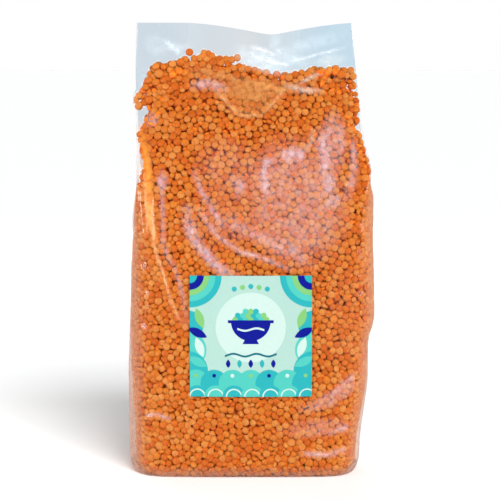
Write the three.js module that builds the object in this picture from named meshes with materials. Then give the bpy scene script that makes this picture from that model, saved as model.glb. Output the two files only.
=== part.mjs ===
// A clear side-gusset bag filled with 2 kg of hulled red lentils, standing on its flat base.
// Millimetres, +Z up. The front panel, with the square label, faces -Y, and the base lies on Z = 0.
// The bag is one closed solid: filled body, folded gussets and flat header. The label is a thin sheet.
import * as THREE from "three";

// Driving sizes of the film: flat panel widths, and the height of the standing bag
const PANEL_WIDTH = 150;
const GUSSET_WIDTH = 70;
const BAG_HEIGHT = 299;

// How many pieces each panel is cut into round the bag, and how many rows go up it
const PANEL_STEPS = 27;
const GUSSET_STEPS = 13;
const ROWS = 56;

// The base: how far its rounded edge pulls the wall in, and how high that edge reaches
const BASE_ROUND = 5.5;
const BASE_ROUND_HEIGHT = 10;
const BASE_ROWS = 4;

// The square label on the front panel
const LABEL_SIDE = 80;
const LABEL_CENTRE = { x: 0.5, z: 95.5 };
const LABEL_THICKNESS = 0.35;
const LABEL_GAP = 0.3;
const LABEL_STEPS = 10;
// The film lies flat under the label and a little beyond it, then takes up its folds over a short way
const FLAT_MARGIN = 2;
const EASE_MARGIN = 5;

// Profiles up the bag, as [height, value]: the front panel's two folded edges in X
const LEFT_FOLD = [[0, -70], [30, -70.5], [120, -71.5], [190, -75.5], [260, -77], [299, -75]];
const RIGHT_FOLD = [[0, 64], [25, 66], [60, 70.5], [120, 74], [180, 76], [203, 81.5], [212, 79.5], [224, 76],
  [250, 73.3], [299, 66.8]];
// Half of the bag's depth at the middle of the panels, and at the folds
const HALF_DEPTH = [[0, 33], [15, 35.5], [60, 36.5], [120, 36], [170, 34.5], [200, 31], [225, 24], [250, 14],
  [266, 6], [276, 2.6], [284, 0.9], [299, 0.7]];
const FOLD_DEPTH = [[0, 29], [60, 31], [150, 30.5], [190, 28], [215, 21], [240, 13], [262, 5], [276, 1.4],
  [284, 0.6], [299, 0.6]];
// How far the filled gussets bulge out, and how deep they are tucked in above the filling's thick part
const LEFT_BULGE = [[0, 11.5], [30, 11.5], [70, 11.5], [130, 8.5], [180, 3], [198, 0], [299, 0]];
const RIGHT_BULGE = [[0, 10], [25, 9], [60, 9.5], [92, 7.5], [98, 11.5], [150, 8], [185, 6], [200, 0], [299, 0]];
const GUSSET_TUCK = [[0, 0], [188, 0], [212, 13], [236, 26], [254, 31], [265, 18], [272, 0], [299, 0]];
// The rounding of the vertical edges: soft where the lentils fill them, sharp where the film is folded
const EDGE_SOFTNESS = [[0, 9], [150, 8], [205, 3], [250, 1.4], [275, 0.5], [299, 0.4]];
const PROFILE_EASE = 6;

// The header bends forward and dips about a rounded fold line, more steeply near it than far from it
const HEADER_FOLD = { x: 14, reach: 54, from: 258, dip: 7.5, forward: 9, round: 4, power: 1.6 };

// Folds in the film, in the X and Z of the panel: from one end to the other, bowed sideways, with a width
// and a height, which is negative for a valley
const FRONT_FOLDS = [
  { from: [-70, 196], to: [-42, 100], bow: 9, width: 2.6, rise: 1.8 },
  { from: [-61, 196], to: [-41, 108], bow: 8, width: 2.4, rise: 1.6 },
  { from: [-44, 178], to: [-14, 132], bow: 4, width: 2.8, rise: 1.9 },
  { from: [-40, 190], to: [33, 134], bow: 8, width: 2.8, rise: 2.1 },
  { from: [-22, 174], to: [38, 138], bow: 4, width: 2.4, rise: 1.6 },
  { from: [20, 218], to: [42, 226], bow: 7, width: 2.6, rise: 1.6 },
  { from: [66, 208], to: [60, 176], bow: 2, width: 2.4, rise: 1.4 },
  { from: [-36, 262], to: [-13, 258], bow: 2, width: 2.6, rise: 1.8 },
  { from: [-23, 252], to: [-6, 236], bow: 1, width: 2.4, rise: 2.0 },
  { from: [-6, 236], to: [25, 252], bow: 5, width: 2.8, rise: 2.2 },
  { from: [25, 252], to: [53, 259], bow: 4, width: 2.4, rise: 1.8 },
  { from: [78, 74], to: [48, 52], bow: -3, width: 2.6, rise: 1.3 },
  { from: [70, 16], to: [36, 13], bow: 1, width: 2.2, rise: 1.3 },
  { from: [-70, 39], to: [-54, 36], bow: -3, width: 2.0, rise: 1.3 },
];
const BACK_FOLDS = [
  { from: [-52, 205], to: [22, 150], bow: 6, width: 2.8, rise: 1.9 },
  { from: [58, 200], to: [30, 128], bow: -7, width: 2.6, rise: 1.7 },
  { from: [-58, 180], to: [-34, 104], bow: 5, width: 2.6, rise: 1.5 },
  { from: [-30, 258], to: [6, 232], bow: -3, width: 2.6, rise: 1.9 },
  { from: [6, 232], to: [40, 256], bow: -3, width: 2.6, rise: 1.9 },
  { from: [60, 50], to: [20, 40], bow: 3, width: 2.4, rise: 1.3 },
  { from: [-64, 30], to: [-30, 22], bow: 3, width: 2.4, rise: 1.2 },
];
// The film is too thin for folds and bumps to stand out where the two panels almost meet
const FULL_RELIEF_DEPTH = 9;

// Lentils press bumps of about their own size into the film
const BUMP_HEIGHT = 0.45;
const BUMP_SEED = 20260;
const BUMP_CLEAR_OF_FOLD = 7;

const COLOURS = { lentils: 0xe8813a, label: 0xcdeadb };

// The value of a profile at a height: straight between its stations, then averaged over a short height
function linear(stations, height) {
  if (height <= stations[0][0]) return stations[0][1];
  for (let i = 1; i < stations.length; i++) {
    const [z0, v0] = stations[i - 1];
    const [z1, v1] = stations[i];
    if (height <= z1) return THREE.MathUtils.mapLinear(height, z0, z1, v0, v1);
  }
  return stations[stations.length - 1][1];
}

function profile(stations, height) {
  const below = linear(stations, height - PROFILE_EASE);
  const above = linear(stations, height + PROFILE_EASE);
  return (below + 2 * linear(stations, height) + above) / 4;
}

// Where a place round the bag lies: the panel it is on, and its share along that panel
const GIRTH = 2 * (PANEL_WIDTH + GUSSET_WIDTH);

function panelAt(along) {
  const lengths = [PANEL_WIDTH, GUSSET_WIDTH, PANEL_WIDTH, GUSSET_WIDTH];
  let rest = THREE.MathUtils.euclideanModulo(along, GIRTH);
  for (let panel = 0; panel < lengths.length; panel++) {
    if (rest < lengths[panel]) return { panel, share: rest / lengths[panel] };
    rest -= lengths[panel];
  }
  return { panel: 3, share: 1 };
}

// The bag's outline at one height, with sharp folds: along runs from the front panel's left fold
function sharpOutline(along, size) {
  const { panel, share } = panelAt(along);
  const centred = 2 * share - 1;
  const crown = 1 - centred * centred;
  const tuck = size.tuck * (1 - Math.abs(centred));
  const depth = size.fold + (size.half - size.fold) * crown;
  const across = size.fold * centred;
  if (panel === 0) return [THREE.MathUtils.lerp(size.left, size.right, share), -depth];
  if (panel === 1) return [size.right + size.rightBulge * crown - tuck, across];
  if (panel === 2) return [THREE.MathUtils.lerp(size.right, size.left, share), depth];
  return [size.left - size.leftBulge * crown + tuck, -across];
}

function sizesAt(height) {
  return {
    left: profile(LEFT_FOLD, height),
    right: profile(RIGHT_FOLD, height),
    half: profile(HALF_DEPTH, height),
    fold: profile(FOLD_DEPTH, height),
    leftBulge: profile(LEFT_BULGE, height),
    rightBulge: profile(RIGHT_BULGE, height),
    tuck: profile(GUSSET_TUCK, height),
    softness: profile(EDGE_SOFTNESS, height),
  };
}

// The same outline with its vertical edges rounded, by averaging it over a short way round the bag
const AVERAGE_STEPS = 6;

function softOutline(along, size) {
  let x = 0;
  let y = 0;
  let total = 0;
  for (let step = -AVERAGE_STEPS; step <= AVERAGE_STEPS; step++) {
    const reach = (2 * step) / AVERAGE_STEPS;
    const weight = Math.exp((-reach * reach) / 2);
    const [px, py] = sharpOutline(along + reach * size.softness, size);
    x += weight * px;
    y += weight * py;
    total += weight;
  }
  return [x / total, y / total];
}

// How far one fold lifts the film at a place on its panel
function foldRise(fold, x, z) {
  const [x0, z0] = fold.from;
  const length = Math.hypot(fold.to[0] - x0, fold.to[1] - z0);
  const dx = (fold.to[0] - x0) / length;
  const dz = (fold.to[1] - z0) / length;
  const share = ((x - x0) * dx + (z - z0) * dz) / length;
  if (share <= 0 || share >= 1) return 0;
  const aside = (z - z0) * dx - (x - x0) * dz;
  const offset = aside + 4 * fold.bow * share * (1 - share);
  return fold.rise * Math.exp(-((offset / fold.width) ** 2)) * Math.sqrt(Math.sin(Math.PI * share));
}

// Broad unevenness of the filling
function lumps(x, z) {
  return 0.8 * Math.sin(x / 17 + 1.3) * Math.sin(z / 23 + 0.7) + 0.45 * Math.sin(x / 9 - z / 13 + 2);
}

// 0 under the label, so that it lies flat, and 1 a little way outside it
function outsideLabel(x, z) {
  const past = Math.max(Math.abs(x - LABEL_CENTRE.x), Math.abs(z - LABEL_CENTRE.z)) - LABEL_SIDE / 2;
  return THREE.MathUtils.smoothstep(past, FLAT_MARGIN, FLAT_MARGIN + EASE_MARGIN);
}

// The header's forward bend and dip, at a place on the flat film
function bendHeader(x, y, z) {
  const ramp = THREE.MathUtils.smoothstep(z, HEADER_FOLD.from, BAG_HEIGHT);
  const aside = Math.hypot(x - HEADER_FOLD.x, HEADER_FOLD.round) - HEADER_FOLD.round;
  const near = Math.max(0, 1 - aside / HEADER_FOLD.reach) ** HEADER_FOLD.power;
  return [x, y - HEADER_FOLD.forward * near * ramp, z - HEADER_FOLD.dip * near * ramp];
}

// One place on the bag's surface, with its folds and a bump of the lentil under it
function surface(along, height, bump) {
  const size = sizesAt(height);
  let [x, y] = softOutline(along, size);
  const { panel, share } = panelAt(along);
  const width = panel % 2 ? GUSSET_WIDTH : PANEL_WIDTH;
  const toFold = Math.min(share, 1 - share) * width;
  const strength = THREE.MathUtils.clamp(size.half / FULL_RELIEF_DEPTH - 0.2, 0, 1);
  const clear = panel === 0 ? outsideLabel(x, height) : 1;
  const aboveBase = THREE.MathUtils.smoothstep(height, 2, BASE_ROUND_HEIGHT);
  const bumpShare = THREE.MathUtils.clamp(toFold / BUMP_CLEAR_OF_FOLD, 0, 1);
  let rise = bump * bumpShare;
  if (panel === 0) rise += FRONT_FOLDS.reduce((sum, fold) => sum + foldRise(fold, x, height), lumps(x, height));
  if (panel === 2) rise += BACK_FOLDS.reduce((sum, fold) => sum + foldRise(fold, x, height), lumps(-x, height));
  rise *= strength * clear * aboveBase;
  if (panel === 0) y -= rise;
  if (panel === 1) x += rise;
  if (panel === 2) y += rise;
  if (panel === 3) x -= rise;

  const low = 1 - Math.min(1, height / BASE_ROUND_HEIGHT);
  const pull = BASE_ROUND * (1 - Math.sqrt(1 - low * low));
  const reach = Math.hypot(x, y);
  return bendHeader(x * (1 - pull / reach), y * (1 - pull / reach), height);
}

// Heights of the rows: close together round the base's edge, even above it
function rowHeight(row) {
  if (row <= BASE_ROWS) return BASE_ROUND_HEIGHT * (1 - Math.cos((row / BASE_ROWS) * (Math.PI / 2)));
  return THREE.MathUtils.mapLinear(row, BASE_ROWS, ROWS, BASE_ROUND_HEIGHT, BAG_HEIGHT);
}

// A small generator of repeatable random numbers from 0 to 1
function seededRandom(seed) {
  let state = seed;
  return () => {
    state = (state + 0x6d2b79f5) | 0;
    let mixed = Math.imul(state ^ (state >>> 15), 1 | state);
    mixed = (mixed + Math.imul(mixed ^ (mixed >>> 7), 61 | mixed)) ^ mixed;
    return ((mixed ^ (mixed >>> 14)) >>> 0) / 2 ** 32;
  };
}

// The way round the bag of each column of vertices: even steps within each panel
function columnPlaces() {
  const places = [];
  let start = 0;
  for (const [width, steps] of [
    [PANEL_WIDTH, PANEL_STEPS],
    [GUSSET_WIDTH, GUSSET_STEPS],
    [PANEL_WIDTH, PANEL_STEPS],
    [GUSSET_WIDTH, GUSSET_STEPS],
  ]) {
    for (let step = 0; step < steps; step++) places.push(start + (width * step) / steps);
    start += width;
  }
  return places;
}

// The two ends are closed by strips across the bag, from the middle of its left gusset to that of its right:
// each strip joins a column of the front half to the one behind it
function endStrips(columns) {
  const leftFront = columns - Math.floor(GUSSET_STEPS / 2);
  const strips = [];
  for (let step = 0; step < columns / 2 - 1; step++) {
    const front = leftFront + step;
    const back = leftFront - 1 - step;
    strips.push([front, front + 1, back - 1, back]);
  }
  return strips;
}

// A tube drawn over the bag's surface, closed by the base and by the header's top edge
function bagGeometry() {
  const places = columnPlaces();
  const columns = places.length;
  const random = seededRandom(BUMP_SEED);
  const positions = [];
  for (let row = 0; row <= ROWS; row++) {
    for (const along of places) {
      positions.push(...surface(along, rowHeight(row), BUMP_HEIGHT * (2 * random() - 1)));
    }
  }
  const at = (row, column) => row * columns + (column % columns);
  const faces = [];
  for (let column = 0; column < columns; column++) {
    for (let row = 0; row < ROWS; row++) {
      const [a, b] = [at(row, column), at(row, column + 1)];
      const [c, d] = [at(row + 1, column + 1), at(row + 1, column)];
      if ((row + column) % 2) faces.push(a, b, c, a, c, d);
      else faces.push(a, b, d, b, c, d);
    }
  }
  for (const strip of endStrips(columns)) {
    const [a, b, c, d] = strip.map((column) => at(0, column));
    faces.push(a, c, b, a, d, c);
    const [e, f, g, h] = strip.map((column) => at(ROWS, column));
    faces.push(e, f, g, e, g, h);
  }
  const geometry = new THREE.BufferGeometry();
  geometry.setAttribute("position", new THREE.Float32BufferAttribute(positions, 3));
  geometry.setIndex(faces);
  geometry.computeVertexNormals();
  return geometry;
}

// The front surface under a place on the label, which has no folds or bumps there
function frontDepth(x, z) {
  const size = sizesAt(z);
  const along = (PANEL_WIDTH * (x - size.left)) / (size.right - size.left);
  return softOutline(along, size)[1];
}

// A thin box, bent so that its back follows the front panel at a small gap
function labelGeometry() {
  const geometry = new THREE.BoxGeometry(LABEL_SIDE, LABEL_THICKNESS, LABEL_SIDE, LABEL_STEPS, 1, LABEL_STEPS);
  const position = geometry.getAttribute("position");
  for (let i = 0; i < position.count; i++) {
    const x = LABEL_CENTRE.x + position.getX(i);
    const z = LABEL_CENTRE.z + position.getZ(i);
    const y = frontDepth(x, z) - LABEL_GAP - LABEL_THICKNESS / 2 + position.getY(i);
    position.setXYZ(i, x, y, z);
  }
  geometry.computeVertexNormals();
  return geometry;
}

function namedMesh(name, geometry, colour, roughness) {
  const material = new THREE.MeshStandardMaterial({ color: colour, roughness, metalness: 0 });
  const mesh = new THREE.Mesh(geometry, material);
  mesh.name = name;
  return mesh;
}

const model = new THREE.Group();
model.add(namedMesh("bag", bagGeometry(), COLOURS.lentils, 0.35));
model.add(namedMesh("label", labelGeometry(), COLOURS.label, 0.45));

// The origin is the middle of the base of the whole part's box
const box = new THREE.Box3().setFromObject(model);
const centre = box.getCenter(new THREE.Vector3());
model.position.set(-centre.x, -centre.y, -box.min.z);

export default model;
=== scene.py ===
# A clear side-gusset bag of hulled red lentils, standing on its base: film, lentils, core and label.
# The shape is worked out in millimetres, +Z up and the front panel facing -Y, with the sizes of the
# CAD model. Every mesh is moved into the frame, in metres, where it is made.
import math
import bpy
import numpy as np
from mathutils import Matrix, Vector, geometry, kdtree


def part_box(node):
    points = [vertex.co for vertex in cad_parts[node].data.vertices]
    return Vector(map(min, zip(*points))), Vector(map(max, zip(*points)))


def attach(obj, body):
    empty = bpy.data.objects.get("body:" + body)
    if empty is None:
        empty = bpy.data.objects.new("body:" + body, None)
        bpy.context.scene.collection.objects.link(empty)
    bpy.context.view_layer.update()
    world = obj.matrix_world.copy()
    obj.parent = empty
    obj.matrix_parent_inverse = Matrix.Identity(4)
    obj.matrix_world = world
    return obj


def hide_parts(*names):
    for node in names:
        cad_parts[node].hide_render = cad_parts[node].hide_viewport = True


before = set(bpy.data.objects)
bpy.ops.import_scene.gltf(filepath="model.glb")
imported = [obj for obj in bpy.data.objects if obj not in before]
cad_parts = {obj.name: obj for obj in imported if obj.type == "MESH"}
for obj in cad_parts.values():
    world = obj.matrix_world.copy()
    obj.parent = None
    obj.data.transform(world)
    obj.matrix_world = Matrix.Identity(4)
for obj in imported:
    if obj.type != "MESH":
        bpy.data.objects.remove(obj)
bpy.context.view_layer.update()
random = np.random.default_rng(41)
MILLIMETRE = 0.001

# Driving sizes of the film, as in the CAD model
PANEL_WIDTH = 150
GUSSET_WIDTH = 70
BAG_HEIGHT = 299
BASE_ROUND = 5.5
BASE_ROUND_HEIGHT = 10
LABEL_SIDE = 80
LABEL_CENTRE = (0.5, 95.5)
LABEL_THICKNESS = 0.35
LABEL_GAP = 0.3

# Profiles up the bag, as (height, value): the front panel's two folded edges in X
LEFT_FOLD = [(0, -70), (30, -70.5), (120, -71.5), (190, -75.5), (260, -77), (299, -75)]
RIGHT_FOLD = [(0, 64), (25, 66), (60, 70.5), (120, 74), (180, 76), (203, 81.5), (212, 79.5), (224, 76),
              (250, 73.3), (299, 66.8)]
# Half of the depth at the middle of the panels, and at the folds
HALF_DEPTH = [(0, 33), (15, 35.5), (60, 36.5), (120, 36), (170, 34.5), (200, 31), (225, 24), (250, 14),
              (266, 6), (276, 2.6), (284, 0.9), (299, 0.7)]
FOLD_DEPTH = [(0, 29), (60, 31), (150, 30.5), (190, 28), (215, 21), (240, 13), (262, 5), (276, 1.4),
              (284, 0.6), (299, 0.6)]
# How far the filled gussets bulge out, and how deep they are tucked in above, up into the header
LEFT_BULGE = [(0, 11.5), (30, 11.5), (70, 11.5), (130, 8.5), (180, 3), (198, 0), (299, 0)]
RIGHT_BULGE = [(0, 10), (25, 9), (60, 9.5), (92, 7.5), (98, 11.5), (150, 8), (185, 6), (200, 0), (299, 0)]
GUSSET_TUCK = [(0, 0), (188, 0), (212, 13), (236, 26), (254, 31), (266, 34), (299, 35)]
# The rounding of the vertical edges
EDGE_SOFTNESS = [(0, 9), (150, 8), (205, 3), (250, 1.4), (275, 0.5), (299, 0.4)]
PROFILE_EASE = 6
HEADER_FOLD = {"x": 14, "reach": 54, "from": 258, "dip": 7.5, "forward": 9, "round": 4, "power": 1.6}

# Folds of the film, as in the CAD model but sharper: rows of start, end, bow, width and rise
FRONT_FOLDS = [
    ((-70, 196), (-42, 100), 9, 1.8, 1.8),
    ((-61, 196), (-41, 108), 8, 1.6, 1.6),
    ((-44, 178), (-14, 132), 4, 2, 1.9),
    ((-40, 190), (33, 134), 8, 2, 2.1),
    ((-22, 174), (38, 138), 4, 1.6, 1.6),
    ((20, 218), (42, 226), 7, 1.8, 1.6),
    ((66, 208), (60, 176), 2, 1.6, 1.4),
    ((-36, 262), (-13, 258), 2, 1.8, 1.8),
    ((-23, 252), (-6, 236), 1, 1.4, 2.0),
    ((-6, 236), (25, 252), 5, 1.6, 2.2),
    ((25, 252), (53, 259), 4, 1.4, 1.8),
    ((78, 74), (48, 52), -3, 1.8, 1.3),
    ((70, 16), (36, 13), 1, 1.4, 1.3),
    ((-70, 39), (-54, 36), -3, 1.2, 1.3),
]
BACK_FOLDS = [
    ((-52, 205), (22, 150), 6, 2, 1.9),
    ((58, 200), (30, 128), -7, 1.8, 1.7),
    ((-58, 180), (-34, 104), 5, 1.8, 1.5),
    ((-30, 258), (6, 232), -3, 1.6, 1.9),
    ((6, 232), (40, 256), -3, 1.6, 1.9),
    ((60, 50), (20, 40), 3, 1.6, 1.3),
    ((-64, 30), (-30, 22), 3, 1.6, 1.2),
]
# Folds rise in full where half of the depth is a little more than this
FULL_RELIEF_DEPTH = 9

# Colours of hazy film, and of the glare and highlights that are painted on it as haze
LILAC = (0.74, 0.57, 0.66)
ROSY = (0.82, 0.56, 0.57)
BEIGE = (0.66, 0.48, 0.34)
# Glow is a painted orange highlight along creases
GLOW_HIGHLIGHT = (0.98, 0.44, 0.18)
ORANGE = (0.90, 0.30, 0.04)
IVORY = (0.76, 0.66, 0.52)
TAN = (0.66, 0.27, 0.075)
DUSTY = (0.53, 0.24, 0.15)
# Ice and white are painted highlights, on the header and along the crests of folds
ICE_HIGHLIGHT = (0.74, 0.88, 0.96)
WHITE_HIGHLIGHT = (0.84, 0.86, 0.88)
AMBER = (0.90, 0.46, 0.18)
SAND = (0.80, 0.76, 0.68)
# Hazy places and painted glare, as soft ovals on a panel: rows of middle, reach across and up, turn in
# degrees, the share of the reach that is even, haze and colour
FRONT_PATCHES = [
    # The first patch is painted glare: a softbox reflected over the upper right of the front
    ((30, 184), (40, 50), 18, 0.4, 0.19, ROSY),
    ((62, 110), (22, 60), 0, 0.2, 0.02, ROSY),
    ((55, 222), (11, 24), 0, 0.4, 0.24, ROSY),
    ((-18, 172), (30, 24), -40, 0.2, 0.05, LILAC),
    ((-57, 197), (5, 8), 0, 0.3, 0.25, LILAC),
    ((28, 214), (9, 6), 0, 0.6, 0.3, LILAC),
    ((51, 196), (6, 8), 0, 0.4, 0.22, LILAC),
    ((54, 184), (6, 6), 0, 0.4, 0.2, LILAC),
    ((2, 255.5), (26, 8), 2, 0.5, 0.38, TAN),
    ((3, 247), (16, 9), 4, 0.5, 0.2, TAN),
    ((46, 34), (34, 9), 4, 0.2, 0.12, ROSY),
    ((-16, 206), (26, 24), 0, 0.3, 0.07, ROSY),
    # Painted highlights on the header
    ((8, 277), (24, 11), -24, 0.3, 0.3, ICE_HIGHLIGHT),
    ((-48, 283), (14, 3), 6, 0.2, 0.12, WHITE_HIGHLIGHT),
    ((-62, 284), (10, 12), 30, 0.1, 0.14, ICE_HIGHLIGHT),
    ((40, 288), (30, 7), 8, 0.2, 0.16, ICE_HIGHLIGHT),
    ((54, 275), (14, 6), 4, 0.2, 0.25, SAND),
    ((-65, 236), (6, 6), 0, 0.3, 0.25, ROSY),
]
BACK_PATCHES = [
    ((-12, 170), (44, 56), 12, 0.25, 0.1, LILAC),
    ((20, 256), (36, 10), 6, 0.3, 0.25, TAN),
]
# Hazy bands and painted highlights along folds and creases: rows of haze, width, colour and line of (x,
# height) on a panel
FRONT_BANDS = [
    (0.8, 2.4, ORANGE, [(-71.5, 231), (-69, 218), (-67, 205), (-65.5, 190), (-64, 172), (-62, 156)]),
    (0.19, 1.6, LILAC, [(-58.6, 203), (-57.6, 188), (-56.8, 175.6), (-56.8, 156.4), (-53.4, 147),
     (-48.8, 139.2), (-44.3, 123.6), (-41, 102.8)]),
    (0.42, 3, LILAC, [(-41, 178.9), (-39.7, 167.2), (-35.2, 157.4), (-29.9, 150.9), (-24.1, 144.4),
     (-17.6, 138.6), (-9.1, 134)]),
    (0.26, 1.8, LILAC, [(-36.5, 202.3), (-33.9, 195.1), (-31.2, 189.3), (-27.3, 183.4), (-22.8, 175.6),
     (-17.6, 167.2)]),
    (0.38, 1.6, ROSY, [(-32.8, 178.2), (-27.3, 169.8), (-19.5, 160), (-13.7, 156.1), (-5.9, 150.9),
     (2, 149), (13.7, 145.1), (26, 139.2)]),
    (0.2, 4.2, ROSY, [(-18.2, 173), (-9.8, 168.5), (4.6, 161.3), (15, 155.8), (28, 149.9), (39.1, 141.2)]),
    (0.25, 3, LILAC, [(-10.4, 198.4), (-5.9, 194.5), (-7.2, 187.3)]),
    (0.36, 2.2, LILAC, [(14.3, 209.6), (10.4, 208.9), (8.3, 201.7), (9.4, 195.8), (10.6, 189.3)]),
    (0.4, 1.6, BEIGE, [(41, 230.1), (40.2, 222.8), (36.5, 217.5)]),
    (0.3, 3.2, LILAC, [(47.5, 229.4), (46.6, 220.2), (48.2, 214.9), (50.1, 200.3)]),
    (0.3, 2.4, ROSY, [(67.4, 224.1), (67.7, 208.3), (67.1, 197.7), (64.4, 187.3)]),
    # Painted highlights along the creases beside the left fold
    (0.7, 1, GLOW_HIGHLIGHT, [(-69.5, 201), (-68.2, 191.2), (-67.3, 178.2), (-67.1, 163.3)]),
    (0.7, 0.9, GLOW_HIGHLIGHT, [(-65.8, 189.9), (-65.1, 172.6), (-63.5, 159.1), (-60.9, 148.3), (-57.1, 137.6),
     (-53.4, 123.6), (-48.2, 110.6), (-42.3, 100.2)]),
    (0.4, 0.9, GLOW_HIGHLIGHT, [(-68.2, 181.2), (-71.1, 173.7), (-73.2, 167.8)]),
    (0.5, 2.4, TAN, [(-39.1, 267.7), (-28, 267.1), (-16.9, 263.8), (0, 260.1), (11.7, 257.2),
     (24.7, 255.8)]),
    (0.4, 2.6, ROSY, [(-37.1, 258.5), (-27.3, 259.2), (-16.9, 256.5)]),
    (0.5, 1.4, AMBER, [(-22.5, 254.5), (-15, 247.3), (-8, 240.5), (0, 238.8), (8, 240)]),
    (0.3, 1.5, AMBER, [(7, 240), (13.5, 245.7), (19, 251), (24.5, 257)]),
    (0.45, 1.8, IVORY, [(24.1, 258.5), (31.9, 255.8), (45.6, 254.5)]),
    (0.5, 1.3, IVORY, [(32.6, 259.8), (42.3, 264.4), (52.7, 269.1)]),
    (0.4, 0.9, WHITE_HIGHLIGHT, [(3.9, 280.3), (15, 276.3), (26.7, 273)]),
    (0.35, 0.9, WHITE_HIGHLIGHT, [(26, 275.7), (44.3, 279.6), (62.5, 282.9)]),
    (0.26, 2, ROSY, [(45.6, 51.4), (61.2, 62.4), (76.2, 74.2)]),
    (0.4, 1.4, ROSY, [(34.5, 16.9), (44.3, 16.3), (56, 15)]),
    (0.3, 1.6, ROSY, [(52, 31), (66.4, 33.5), (70, 36)]),
    (0.35, 1.4, ROSY, [(54, 17.5), (62, 18.6), (70, 21.2)]),
    (0.2, 3.2, ROSY, [(34, 47), (52, 51), (68, 61), (77, 67)]),
    (0.4, 1.6, ICE_HIGHLIGHT, [(-56, 287), (-51, 283.5), (-46, 279)]),
    (0.4, 1.4, WHITE_HIGHLIGHT, [(2, 288), (9, 286.5), (17, 283)]),
    (0.25, 3, ICE_HIGHLIGHT, [(17, 299), (16, 290), (24, 280), (36, 274)]),
    (0.45, 1, ROSY, [(-68.4, 41.6), (-61.8, 42.9), (-52.7, 40.3)]),
    (0.4, 0.9, WHITE_HIGHLIGHT, [(-76.2, 59.2), (-71, 56.6)]),
]
BACK_BANDS = [
    (0.36, 2.6, LILAC, [(-52, 205), (-30, 192), (-6, 172), (22, 150)]),
    (0.32, 2.2, LILAC, [(58, 200), (52, 176), (40, 152), (30, 128)]),
    (0.26, 1.8, ROSY, [(-58, 180), (-55, 150), (-46, 126), (-34, 104)]),
    (0.4, 1.4, WHITE_HIGHLIGHT, [(-30, 258), (-14, 246), (6, 232), (22, 245), (40, 256)]),
    (0.24, 2, ROSY, [(60, 50), (42, 48), (20, 40)]),
    (0.24, 1.6, ROSY, [(-64, 30), (-48, 29), (-30, 22)]),
]
# Colours of grazing film, where it is filled and where it is empty, and the tint of clear film
EDGE_FILLED = (0.88, 0.53, 0.39)
EDGE_EMPTY = (0.76, 0.80, 0.87)
CLEAR_TINT = (0.985, 0.99, 0.992)
# The empty header's tint, as (x, colour)
HEADER_TINTS = [(-50, (0.69, 0.77, 0.84)), (0, (0.735, 0.77, 0.80)), (50, (0.625, 0.79, 0.90))]

# The lentils: half of their width, and half of their thickness as a share of that
LENTIL_RADIUS = 2.56
RADIUS_SPREAD = 0.27
RADIUS_LIMITS = (1.8, 3.05)
LENTIL_FLATNESS = 0.6
THICKNESSES = (0.9, 1.1)
# How close they lie, as a share of the sum of two radii
LENTIL_SPACING = 0.89
NEIGHBOUR_REACH = 2.6 * LENTIL_RADIUS
LENTIL_SINK = 0.4
# Roundness, unevenness, ovalness and spread of tone
RIM_POWER = 0.85
FACE_POWER = 0.95
UNEVENNESS = 0.02
OVALS = (0.94, 1.04)
TONE_SPREAD = 0.16
# Tilts in radians of steep and of flat lentils, and the share that is kept where the bag is thin
STEEP_TILTS = (0.6, 1.5)
FLAT_TILT = 0.24
THIN_TILT_SHARE = 0.25
THIN_DEPTH = 7
# The rows that they start in, how far they are shaken from there, and their lowest places
OUTER_PITCH = 4.74
INNER_PITCH = 4.9
ROW_SHAKE = 0.8
LOWEST_START = 1.6
LOWEST_PLACE = 1.5
FLOOR_GAP = 0.3
FILL_TOP = 283
INNER_DEPTH = 3.2
# How far inside the film a centre lies at least, as a share of half the thickness, and the grid for this
INSIDE_SHARE = 0.7
CLEARANCE_COLUMNS = 132
CLEARANCE_ROWS = 90
# The core behind the lentils: its depth under the film, least sizes, grid and span of heights
CORE_DEPTH = 5.8
CORE_SIDE_DEPTH = 1.2 * CORE_DEPTH
CORE_TUCK_DEPTH = 0.3 * CORE_DEPTH
CORE_TUCK_EASE = 5
CORE_LEAST_HALF = 1.5
CORE_LEAST_FOLD = 1
CORE_COLUMNS = 88
CORE_ROWS = 60
CORE_SPAN = (3, 258)
# The upper edge of the filling, as (x, height), and the width that stays empty beside the folds
FILL_LINE = [(-80, 246), (-74, 250), (-71.5, 255), (-67, 264), (-63, 269), (-54, 270), (-44, 273),
             (-39, 273.5), (-35, 277), (-29, 279.5), (-24.5, 277), (-19.5, 273.5), (-14, 272), (-9, 270),
             (0, 267.5), (8, 267), (20, 265), (33, 266.5), (52, 267), (80, 267.5)]
LEFT_MARGIN = [(0, 0), (185, 0), (200, 7), (209, 7.5), (221, 4.5), (230, 3.2), (234, 8), (238, 13),
               (242, 14), (244.5, 8), (246, 1.5), (250, 1), (256, 4), (299, 7)]
RIGHT_MARGIN = [(0, 0), (190, 2), (200, 5.5), (215, 6), (235, 5.5), (246, 3.5), (299, 3)]
# Above this height the lentils of the front and back press the folded gussets aside
PRESSED_ABOVE = 205
# Single lentils that lie above the filling, between the two panels
LOOSE_LENTILS = [(-40, 280), (-43, 275.5), (-20, 276.5), (-16, 276.5), (-12.3, 276.3), (-8.5, 278),
                 (-7.4, 271.8), (-4.6, 271), (-1.4, 270.2), (3, 269.6)]
# How far the filling stands back from the film of the bulging gussets
LEFT_STANDOFF = [(0, 4), (30, 4), (55, 2.5), (100, 0.6), (188, 0.6), (200, 7), (222, 6), (236, 3), (299, 0)]
RIGHT_STANDOFF = [(0, 3), (30, 2.2), (50, 1.2), (66, 0.8), (90, 0.4), (299, 0)]
# How milky the film of the bulging gussets is, where it stands clear of the filling
LEFT_MILK = [(0, 0.28), (60, 0.28), (100, 0.12), (180, 0.05), (299, 0)]
RIGHT_MILK = [(0, 0.2), (60, 0.15), (90, 0.05), (180, 0.03), (299, 0)]


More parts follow.
